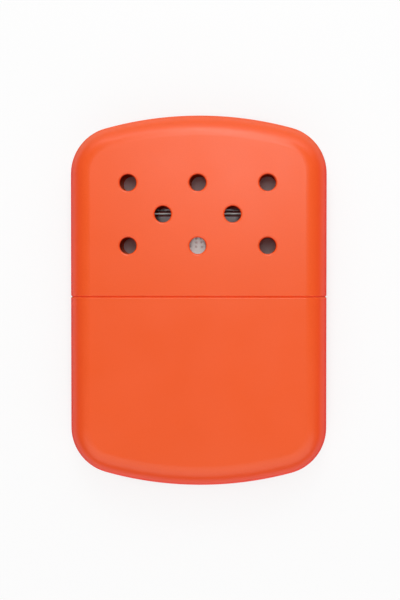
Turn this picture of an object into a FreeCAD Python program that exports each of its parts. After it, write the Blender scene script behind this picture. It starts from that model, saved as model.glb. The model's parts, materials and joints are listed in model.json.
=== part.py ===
import FreeCAD, Part
import math
import os

from FreeCAD import Vector

# Catalytic hand warmer: a drawn tank full of cotton wadding, a burner that presses onto the tank's
# filler neck, and a vented lid that slips over the tank's collar. Millimetres.
# The warmer lies on its back: +Z is the front's normal, +Y points to the lid's crown, +X to the right.
# The origin is the middle of the back face. Heights along Y are counted from the seam.

# Case outline, shared by lid and tank
case_height = 99.0
case_width = 68.5
case_depth = 14.0
crown_radius = 94.3
corner_radius = 12.6
edge_radius = 5.6
case_sheet = 0.5
tank_height = 50.6
seam_gap = 0.03
lip_chamfer = 0.3
blunt_ratio = 0.8

# Vents through the lid's front and back
vent_diameter = 4.4
vent_pitch = 18.5
vent_row_pitch = 8.35
vent_first_row = 13.6
vent_rows = (3, 2, 3)

# Tank cover: skirt in the tank's mouth, collar that the lid grips, deck on top
cover_sheet = 0.5
cover_seat = 0.1
cover_depth = 4.0
joggle_depth = 0.6
lid_clearance = 0.35
collar_rise = 4.8
deck_chamfer = 0.6

# Grip ribs pressed out of the collar's front and back
grip_length = 9.0
grip_width = 1.4
grip_height = 0.25
grip_root = 0.1
grip_chamfer = 0.2
grip_spacing = 34.0
grip_rise = 2.2

# Filler neck, soldered to the deck by its flange
neck_width = 26.4
neck_depth = 7.0
neck_sheet = 0.6
neck_rise = 4.4
neck_flange = 1.4
neck_lip_chamfer = 0.2

# Wadding and wick pad
wadding_clearance = 0.3
layer_gap = 0.3
layer_count = 3
pad_clearance = 0.3
pad_top = 3.5

# Burner socket, pushed over the neck
neck_fit = 0.2
neck_head_gap = 0.3
burner_floor_gap = 0.3
socket_sheet = 0.5
vapour_slot_width = 2.8
vapour_slot_depth = 3.2
vapour_slot_pitch = 4.4
vapour_slot_count = 5

# Burner shells, front and rear, over the socket
shell_gap = 0.1
shell_sheet = 0.5
shell_height = 15.65
shell_split = 0.1
window_width = 5.8
window_height = 8.0
window_rib = 1.8
window_sill = 1.0
window_corner = 0.8
window_count = 3

# Support screen and catalyst mat, two arches on the socket
screen_depth = 4.4
screen_sheet = 0.4
screen_length = 21.6
screen_leg = 7.0
slot_width = 2.2
slot_height = 5.4
slot_pitch = 4.0
slot_count = 5
slot_sill = 1.0
mat_gap = 0.2
mat_thickness = 1.5
mat_length = 22.0

# End cheeks, top plate and guard wires over the exhaust gap
exhaust_gap = 1.5
top_sheet = 0.5
cheek_spacing = 24.5
cheek_sheet = 0.5
cheek_side_gap = 0.15
cheek_ear_inset = 0.1
tab_width = 3.0
tab_height = 0.8
tab_clearance = 0.05
notch_spacing = 19.54
notch_width = 1.5
notch_depth = 3.6
wire_diameter = 0.5
wire_rise = 0.8
wire_edge = 0.7
wire_notch_clearance = 0.05
wire_overhang = 0.4

# Worked out from the sizes above
cut_margin = 1.0
flat_tolerance = 1e-4
mid_z = case_depth / 2
crown_y = case_height / 2 - crown_radius
corner_x = case_width / 2 - corner_radius
corner_y = crown_y + math.sqrt((crown_radius - corner_radius) ** 2 - corner_x ** 2)
seam_y = tank_height - case_height / 2
cover_bottom_y = seam_y - cover_depth
deck_y = seam_y + collar_rise
neck_top_y = deck_y + neck_rise
burner_bottom_y = deck_y + neck_sheet + burner_floor_gap
socket_under_y = neck_top_y + neck_head_gap
socket_top_y = socket_under_y + socket_sheet
shell_top_y = burner_bottom_y + shell_height
top_plate_y = shell_top_y + exhaust_gap
collar_inset = case_sheet + lid_clearance
skirt_inset = case_sheet + cover_seat
neck_bore_width = neck_width - 2 * neck_sheet
neck_bore_depth = neck_depth - 2 * neck_sheet
socket_wall_in = neck_fit
socket_wall_out = socket_wall_in + socket_sheet
shell_wall_in = socket_wall_out + shell_gap
shell_wall_out = shell_wall_in + shell_sheet


def slab_y(low, high):
    """A block across the whole case, from low to high along Y."""
    width = case_width + 2 * cut_margin
    depth = case_depth + 2 * cut_margin
    corner = Vector(-width / 2, low, -cut_margin)
    return Part.makeBox(width, high - low, depth, corner)


def slab_z(low, high):
    """A block across the whole case, from low to high along Z."""
    width = case_width + 2 * cut_margin
    height = case_height + 2 * cut_margin
    corner = Vector(-width / 2, -height / 2, low)
    return Part.makeBox(width, height, high - low, corner)


def edges_at_y(solid, y):
    """The edges that lie in the plane at height y."""
    return [e for e in solid.Edges
            if abs(e.BoundBox.YMin - y) < flat_tolerance and abs(e.BoundBox.YMax - y) < flat_tolerance]


def case_outline(inset):
    """The case's outline seen from the front: a crown at each end, four corners and straight sides."""
    crown = crown_radius - inset
    corner = corner_radius - inset
    lean = math.atan2(corner_x, corner_y - crown_y)
    side = math.pi / 2
    half_turn = (lean + side) / 2

    def on_corner(angle, sx, sy):
        x = corner_x + corner * math.sin(angle)
        y = corner_y + corner * math.cos(angle)
        return Vector(sx * x, sy * y, inset)

    edges = []
    for sy in (1, -1):
        top = Vector(0, sy * (crown_y + crown), inset)
        edges.append(Part.Arc(on_corner(lean, -1, sy), top, on_corner(lean, 1, sy)).toShape())
    for sx in (1, -1):
        for sy in (1, -1):
            points = [on_corner(angle, sx, sy) for angle in (lean, half_turn, side)]
            edges.append(Part.Arc(*points).toShape())
        edges.append(Part.LineSegment(on_corner(side, sx, 1), on_corner(side, sx, -1)).toShape())
    return Part.Wire(Part.__sortEdges__(edges))


def case_blank(inset):
    """The case as a sharp-edged prism, moved in by inset all over, and the edges round its two faces."""
    blank = Part.Face(case_outline(inset)).extrude(Vector(0, 0, case_depth - 2 * inset))
    rims = [e for e in blank.Edges if e.BoundBox.ZLength < flat_tolerance]
    return blank, rims


def case_part(inset, low, high):
    """The stretch of the round-edged case from low to high along Y, moved in by inset."""
    blank, rims = case_blank(inset)
    return blank.makeFillet(edge_radius - inset, rims).common(slab_y(low, high))


def case_blunt(inset, low, high):
    """The same stretch with one flat in place of each round edge, for what is closed from view."""
    blank, rims = case_blank(inset)
    return blank.makeChamfer(blunt_ratio * (edge_radius - inset), rims).common(slab_y(low, high))


def case_hollow(low, high):
    """The room inside the sheet: round-edged along the straight sides, blunt in the closed ends."""
    straight = case_part(case_sheet, max(low, -corner_y), min(high, corner_y))
    return case_blunt(case_sheet, low, high).fuse(straight).removeSplitter()


def obround(width, depth, low, high):
    """A prism along Y with a round-ended section, in the case's middle plane."""
    radius = depth / 2
    reach = width / 2 - radius
    front_left = Vector(-reach, low, mid_z + radius)
    front_right = Vector(reach, low, mid_z + radius)
    back_left = Vector(-reach, low, mid_z - radius)
    back_right = Vector(reach, low, mid_z - radius)
    left_end = Vector(-width / 2, low, mid_z)
    right_end = Vector(width / 2, low, mid_z)
    edges = [
        Part.LineSegment(front_left, front_right).toShape(),
        Part.Arc(front_right, right_end, back_right).toShape(),
        Part.LineSegment(back_right, back_left).toShape(),
        Part.Arc(back_left, left_end, front_left).toShape(),
    ]
    return Part.Face(Part.Wire(edges)).extrude(Vector(0, high - low, 0))


def neck_prism(wall, low, high):
    """An obround prism that stands off the neck's outside by wall."""
    return obround(neck_width + 2 * wall, neck_depth + 2 * wall, low, high)


def obround_half_depth(wall, x):
    """Half the depth, at x, of the prism that stands off the neck by wall."""
    radius = neck_depth / 2 + wall
    past_straight = max(0.0, abs(x) - (neck_width - neck_depth) / 2)
    return math.sqrt(radius ** 2 - past_straight ** 2)


def bore_z(radius, x, y):
    """A cutter along Z through the whole case."""
    return Part.makeCylinder(radius, case_depth + 2 * cut_margin, Vector(x, y, -cut_margin))


def evenly(count, pitch):
    """Places of a centred row."""
    return [(i - (count - 1) / 2) * pitch for i in range(count)]


def make_lid_shell():
    mouth_y = seam_y + seam_gap / 2
    beyond = case_height / 2 + cut_margin
    shell = case_part(0, mouth_y, beyond)
    shell = shell.makeChamfer(lip_chamfer, edges_at_y(shell, mouth_y))
    shell = shell.cut(case_hollow(mouth_y - cut_margin, beyond))
    for row, count in enumerate(vent_rows):
        vent_y = seam_y + vent_first_row + row * vent_row_pitch
        for vent_x in evenly(count, vent_pitch):
            shell = shell.cut(bore_z(vent_diameter / 2, vent_x, vent_y))
    return shell


def make_tank_shell():
    mouth_y = seam_y - seam_gap / 2
    beyond = -case_height / 2 - cut_margin
    shell = case_part(0, beyond, mouth_y)
    shell = shell.makeChamfer(lip_chamfer, edges_at_y(shell, mouth_y))
    return shell.cut(case_hollow(beyond, mouth_y + cut_margin))


def make_grip(x, side):
    """A low rib pressed out of the collar; side is 1 at the front, -1 at the back."""
    face_z = mid_z + side * (mid_z - collar_inset)
    foot_z, crest_z = face_z - side * grip_root, face_z + side * grip_height
    corner = Vector(x - grip_length / 2, seam_y + grip_rise - grip_width / 2, min(foot_z, crest_z))
    rib = Part.makeBox(grip_length, grip_width, grip_height + grip_root, corner)
    crest = [e for e in rib.Edges
             if e.BoundBox.ZLength < flat_tolerance and abs(e.BoundBox.ZMin - crest_z) < flat_tolerance]
    return rib.makeChamfer(grip_chamfer, crest)


def make_tank_cover():
    joggle_y = seam_y - joggle_depth
    collar = case_part(collar_inset, joggle_y, deck_y)
    collar = collar.makeChamfer(deck_chamfer, edges_at_y(collar, deck_y))
    skirt = case_part(skirt_inset, cover_bottom_y, joggle_y)
    hollow_low = case_part(skirt_inset + cover_sheet, cover_bottom_y - cut_margin, joggle_y - cover_sheet)
    hollow_high = case_part(collar_inset + cover_sheet, cover_bottom_y - cut_margin, deck_y - cover_sheet)
    cover = collar.fuse(skirt).cut(hollow_low).cut(hollow_high)
    cover = cover.cut(obround(neck_bore_width, neck_bore_depth, deck_y - cut_margin, deck_y + cut_margin))
    for x in evenly(2, grip_spacing):
        for side in (1, -1):
            cover = cover.fuse(make_grip(x, side))
    return cover


def make_filler_neck():
    tube = neck_prism(0, deck_y, neck_top_y)
    tube = tube.makeChamfer(neck_lip_chamfer, edges_at_y(tube, neck_top_y))
    flange = neck_prism(neck_flange, deck_y, deck_y + neck_sheet)
    bore = obround(neck_bore_width, neck_bore_depth, deck_y - cut_margin, neck_top_y + cut_margin)
    return tube.fuse(flange).cut(bore)


def make_wadding():
    """The layers of cotton, back to front."""
    inset = case_sheet + wadding_clearance
    top_y = cover_bottom_y - wadding_clearance
    fill = case_blunt(inset, -case_height / 2 - cut_margin, top_y)
    thickness = (case_depth - 2 * inset - (layer_count - 1) * layer_gap) / layer_count
    layers = []
    for layer in range(layer_count):
        low = inset + layer * (thickness + layer_gap)
        layers.append(fill.common(slab_z(low, low + thickness)))
    return layers


def make_wick_pad():
    width = neck_bore_width - 2 * pad_clearance
    depth = neck_bore_depth - 2 * pad_clearance
    return obround(width, depth, cover_bottom_y, seam_y + pad_top)


def make_burner_socket():
    cup = neck_prism(socket_wall_out, burner_bottom_y, socket_top_y)
    cup = cup.cut(neck_prism(socket_wall_in, burner_bottom_y - cut_margin, socket_under_y))
    height = socket_sheet + 2 * cut_margin
    for x in evenly(vapour_slot_count, vapour_slot_pitch):
        corner = Vector(x - vapour_slot_width / 2, socket_under_y - cut_margin, mid_z - vapour_slot_depth / 2)
        cup = cup.cut(Part.makeBox(vapour_slot_width, height, vapour_slot_depth, corner))
    return cup


def make_window(x):
    """A cutter along Z for one burner window, with round corners."""
    low_y = socket_top_y + window_sill
    corner = Vector(x - window_width / 2, low_y, -cut_margin)
    block = Part.makeBox(window_width, window_height, case_depth + 2 * cut_margin, corner)
    posts = [e for e in block.Edges if e.BoundBox.ZLength > case_depth]
    return block.makeFillet(window_corner, posts)


def make_burner_shells():
    """The front and rear halves of the burner's casing."""
    tube = neck_prism(shell_wall_out, burner_bottom_y, shell_top_y)
    tube = tube.cut(neck_prism(shell_wall_in, burner_bottom_y - cut_margin, shell_top_y + cut_margin))
    for x in evenly(window_count, window_width + window_rib):
        tube = tube.cut(make_window(x))
    front = tube.common(slab_z(mid_z + shell_split / 2, case_depth))
    rear = tube.common(slab_z(0, mid_z - shell_split / 2))
    return front, rear


def arch(half_depth, thickness, length):
    """A sheet folded over in a round arch that stands on the socket, open along X."""
    spring_y = socket_top_y + screen_leg

    def profile(radius):
        x = -length / 2
        low_front = Vector(x, socket_top_y, mid_z + radius)
        high_front = Vector(x, spring_y, mid_z + radius)
        peak = Vector(x, spring_y + radius, mid_z)
        high_back = Vector(x, spring_y, mid_z - radius)
        low_back = Vector(x, socket_top_y, mid_z - radius)
        edges = [
            Part.LineSegment(low_front, high_front).toShape(),
            Part.Arc(high_front, peak, high_back).toShape(),
            Part.LineSegment(high_back, low_back).toShape(),
            Part.LineSegment(low_back, low_front).toShape(),
        ]
        return Part.Face(Part.Wire(edges)).extrude(Vector(length, 0, 0))

    return profile(half_depth).cut(profile(half_depth - thickness))


def make_support_screen():
    screen = arch(screen_depth / 2, screen_sheet, screen_length)
    for x in evenly(slot_count, slot_pitch):
        corner = Vector(x - slot_width / 2, socket_top_y + slot_sill, -cut_margin)
        screen = screen.cut(Part.makeBox(slot_width, slot_height, case_depth + 2 * cut_margin, corner))
    return screen


def make_catalyst_mat():
    return arch(screen_depth / 2 + mat_gap + mat_thickness, mat_thickness, mat_length)


def cheek_outer_x():
    return (cheek_spacing + cheek_sheet) / 2


def wire_half_depth():
    """How far the guard wires lie in front of and behind the middle plane."""
    return obround_half_depth(shell_wall_out, cheek_outer_x()) - cheek_ear_inset - wire_edge


def make_end_cheek(side):
    """A stamped cheek: stem inside the shells, notched ears on their rims, tab through the top plate."""
    stem = obround_half_depth(shell_wall_in, cheek_outer_x()) - cheek_side_gap
    ear = obround_half_depth(shell_wall_out, cheek_outer_x()) - cheek_ear_inset
    tab = tab_width / 2
    right = [(stem, socket_top_y), (stem, shell_top_y), (ear, shell_top_y), (ear, top_plate_y),
             (tab, top_plate_y), (tab, top_plate_y + tab_height)]
    left = [(-z, y) for z, y in reversed(right)]
    x = side * cheek_spacing / 2 - cheek_sheet / 2
    points = [Vector(x, y, mid_z + z) for z, y in right + left]
    cheek = Part.Face(Part.makePolygon(points + points[:1])).extrude(Vector(cheek_sheet, 0, 0))
    notch = wire_diameter + 2 * wire_notch_clearance
    notch_y = shell_top_y + wire_rise - notch / 2
    for z in (wire_half_depth(), -wire_half_depth()):
        corner = Vector(x - cut_margin, notch_y, mid_z + z - notch / 2)
        length = cheek_sheet + 2 * cut_margin
        cheek = cheek.cut(Part.makeBox(length, top_plate_y + cut_margin - notch_y, notch, corner))
    return cheek


def make_top_plate():
    plate = neck_prism(shell_wall_out, top_plate_y, top_plate_y + top_sheet)
    edge = neck_depth / 2 + shell_wall_out
    height = top_sheet + 2 * cut_margin
    for x in evenly(2, notch_spacing):
        for low_z in (mid_z + edge - notch_depth, mid_z - edge - cut_margin):
            corner = Vector(x - notch_width / 2, top_plate_y - cut_margin, low_z)
            plate = plate.cut(Part.makeBox(notch_width, height, notch_depth + cut_margin, corner))
    for x in evenly(2, cheek_spacing):
        width = cheek_sheet + 2 * tab_clearance
        depth = tab_width + 2 * tab_clearance
        corner = Vector(x - width / 2, top_plate_y - cut_margin, mid_z - depth / 2)
        plate = plate.cut(Part.makeBox(width, height, depth, corner))
    return plate


def make_guard_wire(side):
    """A straight wire in both cheeks' notches; side is 1 at the front, -1 at the back."""
    reach = cheek_outer_x() + wire_overhang
    start = Vector(-reach, shell_top_y + wire_rise, mid_z + side * wire_half_depth())
    return Part.makeCylinder(wire_diameter / 2, 2 * reach, start, Vector(1, 0, 0))


def write(node, shape):
    shape.exportStep(os.path.join("parts", node + ".step"))


os.makedirs("parts", exist_ok=True)
write("lid_shell", make_lid_shell())
write("tank_shell", make_tank_shell())
write("tank_cover", make_tank_cover())
write("filler_neck", make_filler_neck())
for place, layer in zip(("rear", "middle", "front"), make_wadding()):
    write("wadding_" + place, layer)
write("wick_pad", make_wick_pad())
write("burner_socket", make_burner_socket())
for place, half in zip(("front", "rear"), make_burner_shells()):
    write("burner_" + place + "_shell", half)
write("support_screen", make_support_screen())
write("catalyst_mat", make_catalyst_mat())
write("burner_top_plate", make_top_plate())
for place, side in (("left", -1), ("right", 1)):
    write("burner_end_cheek_" + place, make_end_cheek(side))
for place, side in (("front", 1), ("rear", -1)):
    write("guard_wire_" + place, make_guard_wire(side))
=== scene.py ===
import json
import math

import bmesh
import bpy
from mathutils import Matrix, Vector, noise

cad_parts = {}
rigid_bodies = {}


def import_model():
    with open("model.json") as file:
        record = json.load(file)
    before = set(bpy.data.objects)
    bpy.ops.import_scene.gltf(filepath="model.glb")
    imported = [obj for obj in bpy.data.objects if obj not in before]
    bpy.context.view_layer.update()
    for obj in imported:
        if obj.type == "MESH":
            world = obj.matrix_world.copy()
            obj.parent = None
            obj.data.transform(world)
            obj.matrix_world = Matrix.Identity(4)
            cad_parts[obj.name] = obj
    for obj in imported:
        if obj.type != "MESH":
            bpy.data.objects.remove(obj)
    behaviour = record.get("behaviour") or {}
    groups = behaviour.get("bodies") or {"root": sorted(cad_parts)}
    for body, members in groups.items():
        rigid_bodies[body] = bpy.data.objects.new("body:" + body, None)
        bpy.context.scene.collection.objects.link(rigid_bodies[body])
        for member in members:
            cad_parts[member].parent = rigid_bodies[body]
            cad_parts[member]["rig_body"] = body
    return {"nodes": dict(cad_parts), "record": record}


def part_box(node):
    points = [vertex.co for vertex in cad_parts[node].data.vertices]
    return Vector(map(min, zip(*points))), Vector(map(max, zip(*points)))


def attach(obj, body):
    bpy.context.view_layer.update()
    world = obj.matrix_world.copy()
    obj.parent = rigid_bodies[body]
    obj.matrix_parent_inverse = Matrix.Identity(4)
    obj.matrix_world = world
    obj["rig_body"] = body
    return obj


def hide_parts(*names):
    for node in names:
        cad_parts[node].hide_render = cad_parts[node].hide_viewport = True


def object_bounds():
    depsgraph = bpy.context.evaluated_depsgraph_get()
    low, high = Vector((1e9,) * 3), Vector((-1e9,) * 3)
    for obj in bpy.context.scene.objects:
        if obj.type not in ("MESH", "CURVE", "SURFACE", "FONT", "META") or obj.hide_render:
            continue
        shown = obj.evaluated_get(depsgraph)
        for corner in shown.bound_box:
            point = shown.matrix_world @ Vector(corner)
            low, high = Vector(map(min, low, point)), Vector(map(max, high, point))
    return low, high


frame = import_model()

CAD_BOX = [list(corner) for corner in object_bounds()]
MM = 0.001
WELD_DISTANCE = 0.001 * MM


def linear(red, green, blue):
    """A colour given as it looks on screen, 0 to 255."""
    def one(value):
        value = value / 255
        return value / 12.92 if value <= 0.04045 else ((value + 0.055) / 1.055) ** 2.4
    return one(red), one(green), one(blue)


def grey(value):
    return value, value, value


# The photograph's frame in pixels, where the case lies in it, and the pixel that the camera stands over
FRAME_WIDTH_PX = 400
FRAME_HEIGHT_PX = 600
CASE_WIDTH_PX = 254.9
CASE_MIDDLE_PX = (198.7, 300.5)
CAMERA_OVER_PX = (266.0, 258.0)
CAMERA_DISTANCE = 450 * MM
CAMERA_NEAREST = 10 * MM
SENSOR_MM = 36

# Parts of a noise's range that its colours are spread over
BROAD = (0.3, 0.7)
NARROW = (0.35, 0.65)

# Orange coat: its drifts and specks each run between two colours, and the flanks, though not the crown,
# are painted a third, deeper red as painted shade
DRIFT_SIZE = 25 * MM
DRIFT_COLOURS = (0.86, 0.094, 0.011), (0.90, 0.102, 0.015)
SPECK_SIZE = 0.25 * MM
SPECK_COLOURS = (0.85, 0.089, 0.009), (0.91, 0.107, 0.017)
SPECK_SHARE = 0.4
# Painted shade: the flanks get this deeper, darker red in place of shading by the lamps
PAINTED_FLANK_SHADE = (1.0, 0.034, 0.005)
WEAR_SIZE = 11 * MM
COAT_ROUGHNESS = (0.285, 0.335)
COAT_SPECULAR = 0.45
PEBBLE_SIZE = 0.42 * MM
PEBBLE_DEPTH = 0.012 * MM
DUST_SIZE = 0.12 * MM
DUST_DEPTH = 0.004 * MM

# Where the coat counts as a face and as a flank, by the normal's share along Z, and from where the crown,
# which faces the lights, keeps the face's colour without the painted shade, by its share along Y
FACE_NORMAL = 1.0
FLANK_NORMAL = 0.35
CROWN_NORMAL = 0.6
FLANK_ROUGHNESS = 0.8
FLANK_POWER = 3.0

# Tin plate: clouds and scuffs
CLOUD_SIZE = 6 * MM
CLOUD_COLOURS = linear(158, 158, 157), linear(184, 184, 183)
SCUFF_SIZE = 0.35 * MM
SCUFF_STRETCH = (1, 0.04, 1)
SCUFF_COLOUR = linear(206, 206, 205)
SCUFF_DEPTH = 0.004 * MM
TIN_ROUGHNESS = (0.24, 0.42)

# Burner steel: streaks of the drawn sheet under a bloom of heat, from the socket's foot to the top plate
STREAK_SIZE = 0.3 * MM
STREAK_STRETCH = (0.06, 1, 1)
STREAK_COLOURS = linear(88, 83, 84), linear(112, 106, 107)
STREAK_DEPTH = 0.004 * MM
BLOOM = (0.15, linear(118, 112, 104)), (0.6, linear(110, 94, 82)), (1.0, linear(92, 80, 88))
BLOOM_PATCH = 5 * MM
BLOOM_SPAN = (0.38, 0.7)
BLOOM_SHARE = (0.1, 0.6)
BURNER_ROUGHNESS = (0.36, 0.52)

# Guard wire: die lines
LINE_SIZE = 0.12 * MM
LINE_STRETCH = (0.03, 1, 1)
LINE_DEPTH = 0.003 * MM
WIRE_COLOURS = linear(226, 223, 221), linear(246, 244, 242)
WIRE_ROUGHNESS = (0.55, 0.68)
WIRE_METALLIC = 0.6

# Fibres: their colours, the sizes of tufts and of hairs, and the depth of the hairs' relief
# The catalyst fibre's faint pink is painted light bounced from the orange coat; its near-white is its own
CATALYST_FIBRE = {"dark": linear(254, 238, 234), "light": linear(255, 250, 247),
                  "tuft": 0.8 * MM, "hair": 0.16 * MM, "depth": 0.02 * MM}
COTTON = {"dark": linear(216, 211, 200), "light": linear(243, 241, 236),
          "tuft": 2.5 * MM, "hair": 0.3 * MM, "depth": 0.06 * MM}
FELT = {"dark": linear(204, 199, 188), "light": linear(232, 229, 220),
        "tuft": 0.9 * MM, "hair": 0.2 * MM, "depth": 0.04 * MM, "stretch": (1, 3, 1)}
HAIRS_ALONG = (1, 0.25, 1)
HAIRS_ACROSS = (0.25, 1, 1)
HAIR_SPAN = (0.4, 0.75)
FIBRE_ROUGHNESS = 0.95
FIBRE_SPECULAR = 0.2
FIBRE_SHEEN = 0.2
FIBRE_SHEEN_ROUGHNESS = 0.6

# Rolled edges of the pressed sheet, and the angles from which an edge is rolled or stays a crease
VENT_ROLL = 0.45 * MM
SHEET_ROLL = 0.07 * MM
ROLL_ANGLE = math.radians(40)
ROLL_SEGMENTS = 3
CREASE_ANGLE = math.radians(35)
PLANE_SLACK = 0.02 * MM
MOUTH_BAND = 3 * MM
SHEET_PIECES = ("tank_shell", "tank_cover", "filler_neck", "burner_socket", "burner_front_shell",
                "burner_rear_shell", "burner_top_plate", "burner_end_cheek_left",
                "burner_end_cheek_right", "support_screen")

# Catalyst mat: two lumpy skins over an arch, needled through in rows. Each stroke draws how far it strays
# and how hard it is: up to NEEDLE_MISSED it leaves no mark, and from NEEDLE_WHOLE its whole depth
MAT_THICKNESS = 1.5 * MM
MAT_CELL = 0.15 * MM
LUMP_SIZE = 1.1 * MM
LUMP_DEPTH = 0.05 * MM
NEEDLE_PITCH = (1.47 * MM, 1.22 * MM)
NEEDLE_START = (0.15 * MM, 0.86 * MM)
NEEDLE_RADIUS = 0.28 * MM
NEEDLE_DEPTH = 0.40 * MM
NEEDLE_WANDER = 0.12 * MM
# Painted shade at the bottom of each needle dimple: a brownish darkening of the fibre
NEEDLE_PAINTED_SHADE = (0.60, 0.44, 0.42)
NEEDLE_SEED = 123.5
NEEDLE_MISSED = 0.3
NEEDLE_WHOLE = 0.7

# Loose fibre: grid, how far the surface sinks between tufts, and the size of a tuft
WADDING_FORM = {"grid": 0.8 * MM, "sink": 0.45 * MM, "tuft": 3.5 * MM}
WICK_FORM = {"grid": 0.3 * MM, "sink": 0.16 * MM, "tuft": 0.9 * MM}

# Its tufts: a fractal's fall, spread and octaves, the finer noise over it, and the weight of each
TUFT_FRACTAL = (0.8, 2.1, 4)
FINE_PER_TUFT = 9
COARSE_WEIGHT = 1.3
FINE_WEIGHT = 0.25

# Floor: it glows white to the camera; where too little open sky is left over it the glow fades, a painted
# contact shadow, to a faint warm glow that is painted light bounced off the coat
FLOOR_HALF = 6.0
FLOOR_WHITE = 0.85
FLOOR_ROUGHNESS = 0.9
FLOOR_GLOW = 0.85
COVER_REACH = 80 * MM
COVERED_BELOW = 0.25
OPEN_ABOVE = 0.6
PAINTED_BOUNCE_GLOW = 0.035
PAINTED_BOUNCE_TINT = (1.0, 0.16, 0.14)
WHITE_ABOVE = 0.2

# Lights: soft boxes by their lean to the crown in degrees, size in metres, watts and place to the right
WORLD_LIGHT = 0.18
BOX_DISTANCE = 0.42
SOFT_BOXES = {
    "front_light": {"lean": 25, "size": (0.10, 0.30), "watts": 0.62, "aside": 12 * MM},
    "brow_light": {"lean": 47, "size": (0.50, 0.12), "watts": 0.32, "aside": 40 * MM},
    "crown_light": {"lean": 62, "size": (0.90, 0.30), "watts": 0.77, "aside": 40 * MM},
    "foot_light": {"lean": -42, "size": (0.90, 0.40), "watts": 1.40, "aside": 40 * MM},
}

nodes = frame["nodes"]
low, high = (Vector(corner) for corner in CAD_BOX)
middle = (low + high) / 2
pixel = (high.x - low.x) / CASE_WIDTH_PX


def link(thing):
    bpy.context.scene.collection.objects.link(thing)
    return thing


def at_pixel(x, y):
    """The point of the case's middle plane that shows at a pixel of the frame."""
    return middle + Vector((x - CASE_MIDDLE_PX[0], CASE_MIDDLE_PX[1] - y, 0)) * pixel


def add_camera():
    """Stands over its own pixel and looks at the middle of the frame, with the lid's crown up."""
    place = at_pixel(*CAMERA_OVER_PX) + Vector((0, 0, CAMERA_DISTANCE))
    ahead = (at_pixel(FRAME_WIDTH_PX / 2, FRAME_HEIGHT_PX / 2) - place).normalized()
    right = ahead.cross(Vector((0, 1, 0))).normalized()
    up = right.cross(ahead)
    data = bpy.data.cameras.new("camera")
    data.sensor_fit = "HORIZONTAL"
    data.sensor_width = SENSOR_MM
    data.lens = SENSOR_MM * CAMERA_DISTANCE / (FRAME_WIDTH_PX * pixel)
    data.clip_start = CAMERA_NEAREST
    camera = link(bpy.data.objects.new("camera", data))
    camera.matrix_world = Matrix.Translation(place) @ Matrix((right, up, -ahead)).transposed().to_4x4()
    bpy.context.scene.camera = camera


# Nodes


def feed(tree, entry, value):
    """Gives a socket another node's output, or a value; a colour comes without its alpha."""
    if isinstance(value, bpy.types.NodeSocket):
        tree.links.new(value, entry)
    else:
        entry.default_value = (*value, 1) if entry.type == "RGBA" else value


def feed_all(tree, node, inputs):
    for key, value in inputs.items():
        feed(tree, node.inputs[key], value)


def add(tree, kind, inputs=None, **settings):
    """A node with its settings, and its sockets fed by name or number."""
    node = tree.nodes.new(kind)
    for key, value in settings.items():
        setattr(node, key, value)
    feed_all(tree, node, inputs or {})
    return node


def math_node(tree, operation, one, other=0.0):
    return add(tree, "ShaderNodeMath", {0: one, 1: other}, operation=operation).outputs["Value"]


def split(tree, vector):
    """A vector's outputs X, Y and Z."""
    return add(tree, "ShaderNodeSeparateXYZ", {"Vector": vector}).outputs


def ranged(tree, value, start, end, first=0.0, last=1.0):
    """Runs from first to last while the value goes from start to end."""
    node = add(tree, "ShaderNodeMapRange", {
        "Value": value, "From Min": start, "From Max": end, "To Min": first, "To Max": last})
    return node.outputs["Result"]


def grain(tree, size, detail=3.0, roughness=0.5, stretch=(1, 1, 1)):
    """Noise fixed to the piece; size is that of its coarsest patches, in metres."""
    place = add(tree, "ShaderNodeTexCoord").outputs["Object"]
    mapping = add(tree, "ShaderNodeMapping", {"Vector": place, "Scale": stretch})
    texture = add(tree, "ShaderNodeTexNoise", {
        "Vector": mapping.outputs["Vector"], "Scale": 1 / size,
        "Detail": detail, "Roughness": roughness})
    return texture.outputs["Fac"]


def ramp(tree, value, *stops):
    """Colours spread over a value between the given places."""
    node = add(tree, "ShaderNodeValToRGB", {"Fac": value})
    elements = node.color_ramp.elements
    for element, (place, colour) in zip(elements, (stops[0], stops[-1])):
        element.position = place
        element.color = (*colour, 1)
    for place, colour in stops[1:-1]:
        elements.new(place).color = (*colour, 1)
    return node.outputs["Color"]


def colours(tree, value, first, last, span=BROAD):
    """Runs from one colour to another while the value crosses the span."""
    return ramp(tree, value, (span[0], first), (span[1], last))


def shares(tree, value, first, last, span=BROAD):
    """Runs from one number to another while the value crosses the span."""
    return colours(tree, value, grey(first), grey(last), span)


def mix(tree, factor, one, other):
    """Runs from one colour to another while the factor goes from 0 to 1."""
    node = add(tree, "ShaderNodeMix", data_type="RGBA")
    entries = {entry.identifier: entry for entry in node.inputs}
    for key, value in (("Factor_Float", factor), ("A_Color", one), ("B_Color", other)):
        feed(tree, entries[key], value)
    return next(result for result in node.outputs if result.identifier == "Result_Color")


# Materials


def new_material(name):
    material = bpy.data.materials.new(name)
    material.use_nodes = True
    tree = material.node_tree
    return material, tree, tree.nodes["Principled BSDF"]


def relief(tree, shader, *layers):
    """Stacks bumps on a shader; each layer is a height and its depth in metres."""
    last = None
    for height, depth in layers:
        bump = add(tree, "ShaderNodeBump", {"Height": height, "Distance": depth, "Strength": 1.0})
        if last:
            feed(tree, bump.inputs["Normal"], last)
        last = bump.outputs["Normal"]
    feed(tree, shader.inputs["Normal"], last)


def steepness(tree):
    """0 on the front and back faces and 1 on the flanks, and the same with the lid's crown left at 0 as
    the mask of the painted shade.
    """
    facing = add(tree, "ShaderNodeNewGeometry").outputs["Normal"]
    local = add(tree, "ShaderNodeVectorTransform", {"Vector": facing},
                vector_type="NORMAL", convert_from="WORLD", convert_to="OBJECT")
    way = split(tree, local.outputs["Vector"])
    steep = ranged(tree, math_node(tree, "ABSOLUTE", way["Z"]), FACE_NORMAL, FLANK_NORMAL)
    off_crown = ranged(tree, way["Y"], 0.0, CROWN_NORMAL, 1.0, 0.0)
    return steep, math_node(tree, "MULTIPLY", steep, off_crown)


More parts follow.
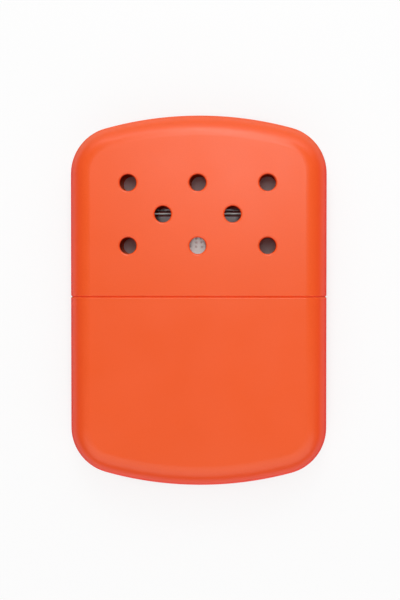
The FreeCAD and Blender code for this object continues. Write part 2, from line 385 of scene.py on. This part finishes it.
def make_coating():
    """Blaze-orange powder coat: faintly pebbled, duller where it wraps the edges, and darkened by painted
    shade to a deeper red on the flanks but not on the crown.
    """
    material, tree, shader = new_material("orange_coat")
    drift = colours(tree, grain(tree, DRIFT_SIZE, detail=2), *DRIFT_COLOURS)
    speck = colours(tree, grain(tree, SPECK_SIZE, detail=2), *SPECK_COLOURS, span=NARROW)
    wear = grain(tree, WEAR_SIZE, detail=5, roughness=0.6)
    rough = shares(tree, wear, *COAT_ROUGHNESS, span=NARROW)
    # Painted shade: the flanks, though not the crown, darken to a deeper red in the base colour
    steep, painted_shade = steepness(tree)
    flank = math_node(tree, "POWER", steep, FLANK_POWER)
    feed_all(tree, shader, {
        "Base Color": mix(tree, painted_shade, mix(tree, SPECK_SHARE, drift, speck), PAINTED_FLANK_SHADE),
        "Roughness": mix(tree, flank, rough, grey(FLANK_ROUGHNESS)),
        "Specular IOR Level": COAT_SPECULAR})
    pebbles = grain(tree, PEBBLE_SIZE, detail=1)
    dust = grain(tree, DUST_SIZE, detail=2)
    relief(tree, shader, (pebbles, PEBBLE_DEPTH), (dust, DUST_DEPTH))
    return material


def make_tinned_steel():
    """Tin plate: cloudy, with fine scuffs along the way that the lid slides."""
    material, tree, shader = new_material("tinned_steel")
    clouds = colours(tree, grain(tree, CLOUD_SIZE, detail=4), *CLOUD_COLOURS)
    scuffs = grain(tree, SCUFF_SIZE, detail=4, roughness=0.7, stretch=SCUFF_STRETCH)
    feed_all(tree, shader, {
        "Base Color": mix(tree, scuffs, clouds, SCUFF_COLOUR),
        "Roughness": shares(tree, scuffs, *TIN_ROUGHNESS),
        "Metallic": 1.0})
    relief(tree, shader, (scuffs, SCUFF_DEPTH))
    return material


def make_burner_steel():
    """Stainless sheet that has been hot: drawn streaks under a straw bloom, bluer towards its top."""
    material, tree, shader = new_material("burner_steel")
    streaks = grain(tree, STREAK_SIZE, detail=4, roughness=0.65, stretch=STREAK_STRETCH)
    height = split(tree, add(tree, "ShaderNodeTexCoord").outputs["Object"])["Y"]
    warmth = ranged(tree, height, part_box("burner_socket")[0].y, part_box("burner_top_plate")[1].y)
    patches = shares(tree, grain(tree, BLOOM_PATCH, detail=3), *BLOOM_SHARE, span=BLOOM_SPAN)
    steel = colours(tree, streaks, *STREAK_COLOURS)
    feed_all(tree, shader, {
        "Base Color": mix(tree, patches, steel, ramp(tree, warmth, *BLOOM)),
        "Roughness": shares(tree, streaks, *BURNER_ROUGHNESS),
        "Metallic": 1.0})
    relief(tree, shader, (streaks, STREAK_DEPTH))
    return material


def make_wire_steel():
    """Drawn wire, dulled by heat, with die lines along it."""
    material, tree, shader = new_material("wire_steel")
    lines = grain(tree, LINE_SIZE, detail=3, stretch=LINE_STRETCH)
    feed_all(tree, shader, {
        "Base Color": colours(tree, lines, *WIRE_COLOURS),
        "Roughness": shares(tree, lines, *WIRE_ROUGHNESS),
        "Metallic": WIRE_METALLIC})
    relief(tree, shader, (lines, LINE_DEPTH))
    return material


def make_fibre(name, dark, light, tuft, hair, depth, stretch=(1, 1, 1)):
    """Matted fibre: soft tufts, with hairs over them both ways."""
    material, tree, shader = new_material(name)
    tufts = grain(tree, tuft, detail=4, roughness=0.6, stretch=stretch)
    along, across = (grain(tree, hair, detail=4, roughness=0.75, stretch=way)
                     for way in (HAIRS_ALONG, HAIRS_ACROSS))
    strands = math_node(tree, "MAXIMUM", along, across)
    feed_all(tree, shader, {
        "Base Color": mix(tree, tufts, colours(tree, strands, dark, light, HAIR_SPAN), light),
        "Roughness": FIBRE_ROUGHNESS,
        "Specular IOR Level": FIBRE_SPECULAR,
        "Sheen Weight": FIBRE_SHEEN,
        "Sheen Roughness": FIBRE_SHEEN_ROUGHNESS})
    relief(tree, shader, (tufts, 2 * depth), (strands, depth))
    return material


def make_catalyst_fibre():
    """Near-white glass fibre, with painted shade, brownish, at the bottom of each needle stroke."""
    material = make_fibre("catalyst_fibre", **CATALYST_FIBRE)
    tree = material.node_tree
    colour = tree.nodes["Principled BSDF"].inputs["Base Color"]
    # Painted shade: the fibre darkens to brown where the needle strokes sink
    stroke = add(tree, "ShaderNodeAttribute", attribute_name="needled").outputs["Fac"]
    feed(tree, colour, mix(tree, stroke, colour.links[0].from_socket, NEEDLE_PAINTED_SHADE))
    return material


def dress(makers):
    """Gives every solid the material of its slot in the record."""
    materials = {slot: make() for slot, make in makers.items()}
    for part in frame["record"]["subparts"]:
        for place in nodes[part["node"]].material_slots:
            place.material = materials[part["material_slot"]]
    return materials


# Rolled edges on the pressed sheet


def geometry_tree(name):
    tree = bpy.data.node_groups.new(name, "GeometryNodeTree")
    for way in ("INPUT", "OUTPUT"):
        tree.interface.new_socket("Geometry", in_out=way, socket_type="NodeSocketGeometry")
    return tree, add(tree, "NodeGroupInput").outputs["Geometry"]


def bent_more_than(tree, angle):
    bend = add(tree, "GeometryNodeInputMeshEdgeAngle").outputs["Unsigned Angle"]
    return math_node(tree, "GREATER_THAN", bend, angle)


def rim_nodes():
    """Weighs the lid's sharp edges for the bevel: fully at the vents' outer rims, less at the others.

    A vent's outer rim lies in the plane of the front or the back, and past the lid's mouth.
    """
    tree, start = geometry_tree("rims")
    half_depth = (high.z - low.z) / 2
    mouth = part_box("lid_shell")[0].y
    outer = 1.0
    ends = add(tree, "GeometryNodeInputMeshEdgeVertices").outputs
    for end in ("Position 1", "Position 2"):
        place = split(tree, ends[end])
        away = math_node(tree, "ABSOLUTE", math_node(tree, "SUBTRACT", place["Z"], middle.z))
        in_plane = math_node(tree, "GREATER_THAN", away, half_depth - PLANE_SLACK)
        past_mouth = math_node(tree, "GREATER_THAN", place["Y"], mouth + MOUTH_BAND)
        outer = math_node(tree, "MULTIPLY", outer, math_node(tree, "MULTIPLY", in_plane, past_mouth))
    share = math_node(tree, "MAXIMUM", outer, SHEET_ROLL / VENT_ROLL)
    weight = math_node(tree, "MULTIPLY", share, bent_more_than(tree, ROLL_ANGLE))
    marked = add(tree, "GeometryNodeStoreNamedAttribute", {
        "Geometry": start, "Name": "bevel_weight_edge", "Value": weight},
        data_type="FLOAT", domain="EDGE")
    add(tree, "NodeGroupOutput", {"Geometry": marked.outputs["Geometry"]})
    return tree


def crease_nodes():
    """Marks the edges that stay creases."""
    tree, start = geometry_tree("creases")
    creased = bent_more_than(tree, CREASE_ANGLE)
    marked = add(tree, "GeometryNodeSetShadeSmooth", {
        "Geometry": start, "Selection": creased, "Shade Smooth": False}, domain="EDGE")
    add(tree, "NodeGroupOutput", {"Geometry": marked.outputs["Geometry"]})
    return tree


def roll_edges(node, width, creases, rims=None):
    """Rounds a pressed piece's edges as its tools leave them: all sharp ones, or as rims weighs them."""
    piece = nodes[node]
    weld = piece.modifiers.new("weld", "WELD")
    weld.merge_threshold = WELD_DISTANCE
    if rims:
        piece.modifiers.new("rims", "NODES").node_group = rims
    roll = piece.modifiers.new("roll", "BEVEL")
    roll.limit_method = "WEIGHT" if rims else "ANGLE"
    roll.angle_limit = ROLL_ANGLE
    roll.width = width
    roll.segments = ROLL_SEGMENTS
    roll.loop_slide = False
    roll.use_clamp_overlap = False
    piece.modifiers.new("creases", "NODES").node_group = creases
    shading = piece.modifiers.new("shading", "WEIGHTED_NORMAL")
    shading.keep_sharp = True


# Soft pieces


def finish_soft(piece, node, material):
    """Lets a detailed soft piece stand for its plain solid."""
    piece.data.materials.clear()
    piece.data.materials.append(material)
    for face in piece.data.polygons:
        face.use_smooth = True
    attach(piece, nodes[node]["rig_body"])
    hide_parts(node)


def make_fluffy(node, name, grid, sink, tuft):
    """The node's solid, remeshed and sunk between tufts of fibre."""
    piece = link(bpy.data.objects.new(name, nodes[node].data.copy()))
    remesh = piece.modifiers.new("remesh", "REMESH")
    remesh.mode = "VOXEL"
    remesh.voxel_size = grid
    seen = piece.evaluated_get(bpy.context.evaluated_depsgraph_get())
    mesh = bpy.data.meshes.new_from_object(seen)
    piece.modifiers.clear()
    piece.data = mesh
    mesh.name = name
    for vertex in mesh.vertices:
        coarse = noise.fractal(vertex.co / tuft, *TUFT_FRACTAL)
        fine = noise.noise(vertex.co / (tuft / FINE_PER_TUFT))
        lift = max(-1.0, min(1.0, COARSE_WEIGHT * coarse + FINE_WEIGHT * fine))
        vertex.co -= vertex.normal * sink * (0.5 - 0.5 * lift)
    return piece


def needled(x, distance):
    """1 at the middle of a needle stroke, falling to 0 round it; weaker strokes reach less."""
    across, along_arch = x - NEEDLE_START[0], distance - NEEDLE_START[1]
    column, row = round(across / NEEDLE_PITCH[0]), round(along_arch / NEEDLE_PITCH[1])
    draw = noise.cell_vector(Vector((column, row, NEEDLE_SEED)))
    away_x = across - column * NEEDLE_PITCH[0] - NEEDLE_WANDER * (2 * draw.x - 1)
    away_y = along_arch - row * NEEDLE_PITCH[1] - NEEDLE_WANDER * (2 * draw.y - 1)
    force = max(0.0, min(1.0, (draw.z - NEEDLE_MISSED) / (NEEDLE_WHOLE - NEEDLE_MISSED)))
    return force * math.exp(-(away_x ** 2 + away_y ** 2) / NEEDLE_RADIUS ** 2)


def make_mat():
    """Needled fibre mat: a closed pad bent over its support, with a dimple at each needle stroke."""
    start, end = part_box("catalyst_mat")
    outer = (end.z - start.z) / 2
    arc_radius = outer - MAT_THICKNESS / 2
    leg = end.y - outer - start.y
    around = 2 * leg + math.pi * arc_radius
    along = end.x - start.x
    centre = Vector((start.x, start.y + leg, (start.z + end.z) / 2))
    columns, rows = round(along / MAT_CELL), round(around / MAT_CELL)

    def middle_line(distance):
        """Offset from the arch's centre, and outward direction, so far round the arch."""
        if distance < leg:
            return Vector((0, distance - leg, arc_radius)), Vector((0, 0, 1))
        if distance > around - leg:
            return Vector((0, around - leg - distance, -arc_radius)), Vector((0, 0, -1))
        angle = (distance - leg) / arc_radius
        outward = Vector((0, math.sin(angle), math.cos(angle)))
        return outward * arc_radius, outward

    def half_thickness(x, distance, side):
        rim = min(x, along - x, distance, around - distance) / (MAT_THICKNESS / 2)
        rounding = math.sqrt(max(0.0, 1 - (1 - min(1.0, rim)) ** 2))
        lumps = LUMP_DEPTH * (1 + noise.noise(Vector((x, distance, side * MM)) / LUMP_SIZE))
        return max(0.0, (MAT_THICKNESS / 2 - lumps - NEEDLE_DEPTH * needled(x, distance)) * rounding)

    shape = bmesh.new()
    # The needle marks also carry the painted shade of the dimples
    needle_shade_layer = shape.verts.layers.float.new("needled")
    for side in (1, -1):
        skin = []
        for row in range(rows + 1):
            distance = around * row / rows
            offset, outward = middle_line(distance)
            skin.append([])
            for column in range(columns + 1):
                x = along * column / columns
                out = side * half_thickness(x, distance, side)
                vertex = shape.verts.new(centre + offset + outward * out + Vector((x, 0, 0)))
                vertex[needle_shade_layer] = needled(x, distance)
                skin[-1].append(vertex)
        for row in range(rows):
            for column in range(columns):
                corners = (skin[row][column], skin[row][column + 1],
                           skin[row + 1][column + 1], skin[row + 1][column])
                shape.faces.new(corners if side < 0 else corners[::-1])
    bmesh.ops.remove_doubles(shape, verts=shape.verts, dist=WELD_DISTANCE)
    bmesh.ops.recalc_face_normals(shape, faces=shape.faces)
    mesh = bpy.data.meshes.new("needled_mat")
    shape.to_mesh(mesh)
    shape.free()
    return link(bpy.data.objects.new("needled_mat", mesh))


# Studio


def make_floor():
    """Pale paper: white to the camera and in reflections; where covered, a painted shadow dims it to a
    faint warm glow painted for light bounced off the coat.
    """
    sides = ((-1, -1), (1, -1), (1, 1), (-1, 1))
    corners = [(x * FLOOR_HALF, y * FLOOR_HALF, low.z) for x, y in sides]
    mesh = bpy.data.meshes.new("floor")
    mesh.from_pydata(corners, [], [(0, 1, 2, 3)])
    floor = link(bpy.data.objects.new("floor", mesh))
    material, tree, shader = new_material("floor_paper")
    feed_all(tree, shader, {"Base Color": grey(FLOOR_WHITE), "Roughness": FLOOR_ROUGHNESS})
    path = add(tree, "ShaderNodeLightPath").outputs
    seen = math_node(tree, "MAXIMUM", path["Is Camera Ray"], path["Is Glossy Ray"])
    open_sky = add(tree, "ShaderNodeAmbientOcclusion", {"Distance": COVER_REACH}).outputs["AO"]
    # Painted contact shadow: the glow fades where ambient occlusion finds the floor covered, down to a
    # faint painted bounce glow
    glow = ranged(tree, open_sky, COVERED_BELOW, OPEN_ABOVE, PAINTED_BOUNCE_GLOW, FLOOR_GLOW)
    # Painted bounce light: the covered glow is tinted warm, like light bounced off the coat
    bounce_tint = ramp(tree, glow, (PAINTED_BOUNCE_GLOW, PAINTED_BOUNCE_TINT), (WHITE_ABOVE, grey(1.0)))
    light = add(tree, "ShaderNodeEmission", {"Color": bounce_tint, "Strength": 1.0}).outputs["Emission"]
    share = math_node(tree, "MULTIPLY", seen, glow)
    both = add(tree, "ShaderNodeMixShader", {0: share, 1: shader.outputs["BSDF"], 2: light})
    feed(tree, tree.nodes["Material Output"].inputs["Surface"], both.outputs["Shader"])
    mesh.materials.append(material)


def add_soft_box(name, lean, size, watts, aside):
    """A soft box that leans from the front's normal to the crown, and stands a little to the right."""
    angle = math.radians(lean)
    away = Vector((aside, BOX_DISTANCE * math.sin(angle), BOX_DISTANCE * math.cos(angle)))
    light = bpy.data.lights.new(name, "AREA")
    light.shape = "RECTANGLE"
    light.size, light.size_y = size
    light.energy = watts
    panel = link(bpy.data.objects.new(name, light))
    panel.location = middle + away
    panel.rotation_euler = (-angle, 0, 0)


def make_world():
    """White behind everything to the camera, and an even weak light to all else."""
    world = bpy.data.worlds.new("studio")
    world.use_nodes = True
    tree = world.node_tree
    path = add(tree, "ShaderNodeLightPath").outputs
    feed_all(tree, tree.nodes["Background"], {
        "Color": grey(1.0),
        "Strength": ranged(tree, path["Is Camera Ray"], 0.0, 1.0, WORLD_LIGHT, 1.0)})
    bpy.context.scene.world = world


add_camera()

materials = dress({
    "orange_coat": make_coating,
    "tinned_steel": make_tinned_steel,
    "burner_steel": make_burner_steel,
    "wire_steel": make_wire_steel,
    "catalyst_fibre": make_catalyst_fibre,
    "cotton": lambda: make_fibre("cotton", **COTTON),
    "felt": lambda: make_fibre("felt", **FELT),
})

creases = crease_nodes()
roll_edges("lid_shell", VENT_ROLL, creases, rims=rim_nodes())
for name in SHEET_PIECES:
    roll_edges(name, SHEET_ROLL, creases)

finish_soft(make_mat(), "catalyst_mat", materials["catalyst_fibre"])
for layer in ("front", "middle", "rear"):
    wad = make_fluffy("wadding_" + layer, "cotton_wad_" + layer, **WADDING_FORM)
    finish_soft(wad, "wadding_" + layer, materials["cotton"])
wick = make_fluffy("wick_pad", "felt_wick", **WICK_FORM)
finish_soft(wick, "wick_pad", materials["felt"])

make_floor()
for name, box in SOFT_BOXES.items():
    add_soft_box(name, **box)
make_world()
bpy.context.scene.view_settings.view_transform = "Standard"
